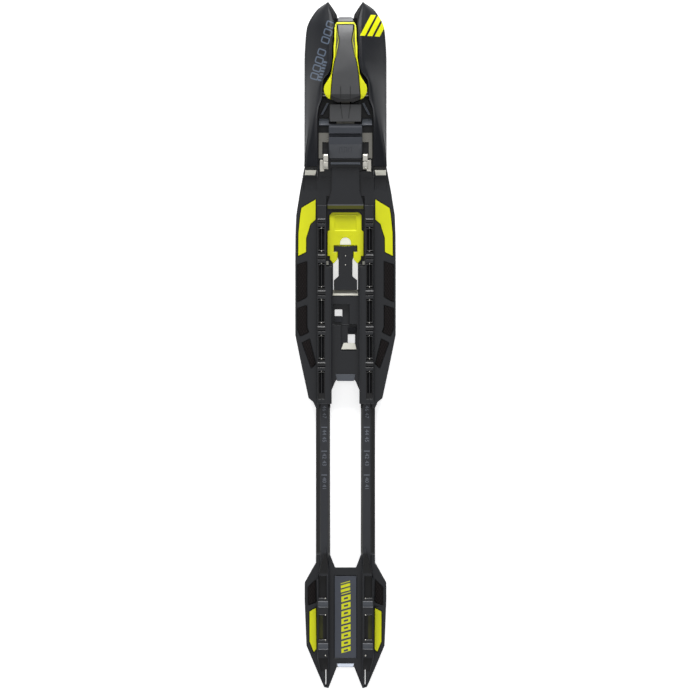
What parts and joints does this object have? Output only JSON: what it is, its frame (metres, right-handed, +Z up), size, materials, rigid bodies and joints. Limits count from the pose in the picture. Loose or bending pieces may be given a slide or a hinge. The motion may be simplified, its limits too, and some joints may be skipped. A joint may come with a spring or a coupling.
{
  "type": "cross-country skate ski binding",
  "caption": "Slide-on cross-country ski binding with a lever-worked steel toe jaw, rubber flexor, lock slider and a heel plate on two rails.",
  "frame": {"origin": "centre of the bounding box in plan, on the ski's top surface under the binding", "axes": "+Y forward to the ski tip, +X to the skier's right, +Z up from the ski"},
  "size_m": [0.056, 0.3824, 0.0237],
  "materials": {
    "black_plastic": "black fibre-filled moulding, semi-gloss",
    "grey_plastic": "dark grey satin moulding",
    "lime_plastic": "lime yellow moulding, soft gloss",
    "label_plastic": "blue-grey satin plate",
    "rubber": "matt black grip rubber",
    "flexor_rubber": "satin black hard rubber",
    "steel": "pressed and polished steel"
  },
  "bodies": {
    "base": {"chassis": "black_plastic", "toe_housing": "black_plastic", "cover_plate": "grey_plastic", "flexor": "flexor_rubber", "centre_block": "black_plastic", "lever_pin": "steel", "fixed_hook_left": "steel", "fixed_hook_right": "steel", "deck_inlay_left": "lime_plastic", "deck_inlay_right": "lime_plastic", "pad_front_left": "rubber", "pad_front_right": "rubber", "pad_middle_left": "rubber", "pad_middle_right": "rubber", "pad_rear_left": "rubber", "pad_rear_right": "rubber"},
    "lever": {"lever_body": "grey_plastic", "lever_trim": "lime_plastic", "crank_pin": "steel"},
    "jaw": {"jaw_plate": "steel", "jaw_hook_left": "steel", "jaw_hook_right": "steel", "jaw_pin": "steel"},
    "link": {"toggle_link": "steel"},
    "lock": {"lock_slider": "lime_plastic", "lock_tongue": "black_plastic", "lock_key": "steel"},
    "heel": {"heel_frame": "black_plastic", "heel_label": "label_plastic", "heel_pad_left": "rubber", "heel_pad_right": "rubber", "heel_inlay_left": "lime_plastic", "heel_inlay_right": "lime_plastic"}
  },
  "joints": [
    {"name": "lever_tilt", "type": "hinge", "parent": "base", "child": "lever", "pos_m": [0, 0.1395, 0.0185], "axis": [1, 0, 0], "range_deg": [0, 60]},
    {"name": "jaw_slide", "type": "slide", "parent": "base", "child": "jaw", "axis": [0, 1, 0], "range_m": [0, 0.00482]},
    {"name": "link_swing", "type": "hinge", "parent": "jaw", "child": "link", "pos_m": [0, 0.1268, 0.0128], "axis": [1, 0, 0], "range_deg": [-8.2, 0]},
    {"name": "lock_slide", "type": "slide", "parent": "base", "child": "lock", "axis": [0, 1, 0], "range_m": [0, 0.006], "stiffness_N_per_m": 400, "springref_m": -0.001},
    {"name": "heel_slide", "type": "slide", "parent": "base", "child": "heel", "axis": [0, 1, 0], "range_m": [0, 0.04]}
  ],
  "couplings": [
    {"joint": "jaw_slide", "follows": "lever_tilt", "m_per_rad": 0.0046},
    {"joint": "link_swing", "follows": "lever_tilt", "ratio": -0.135}
  ]
}
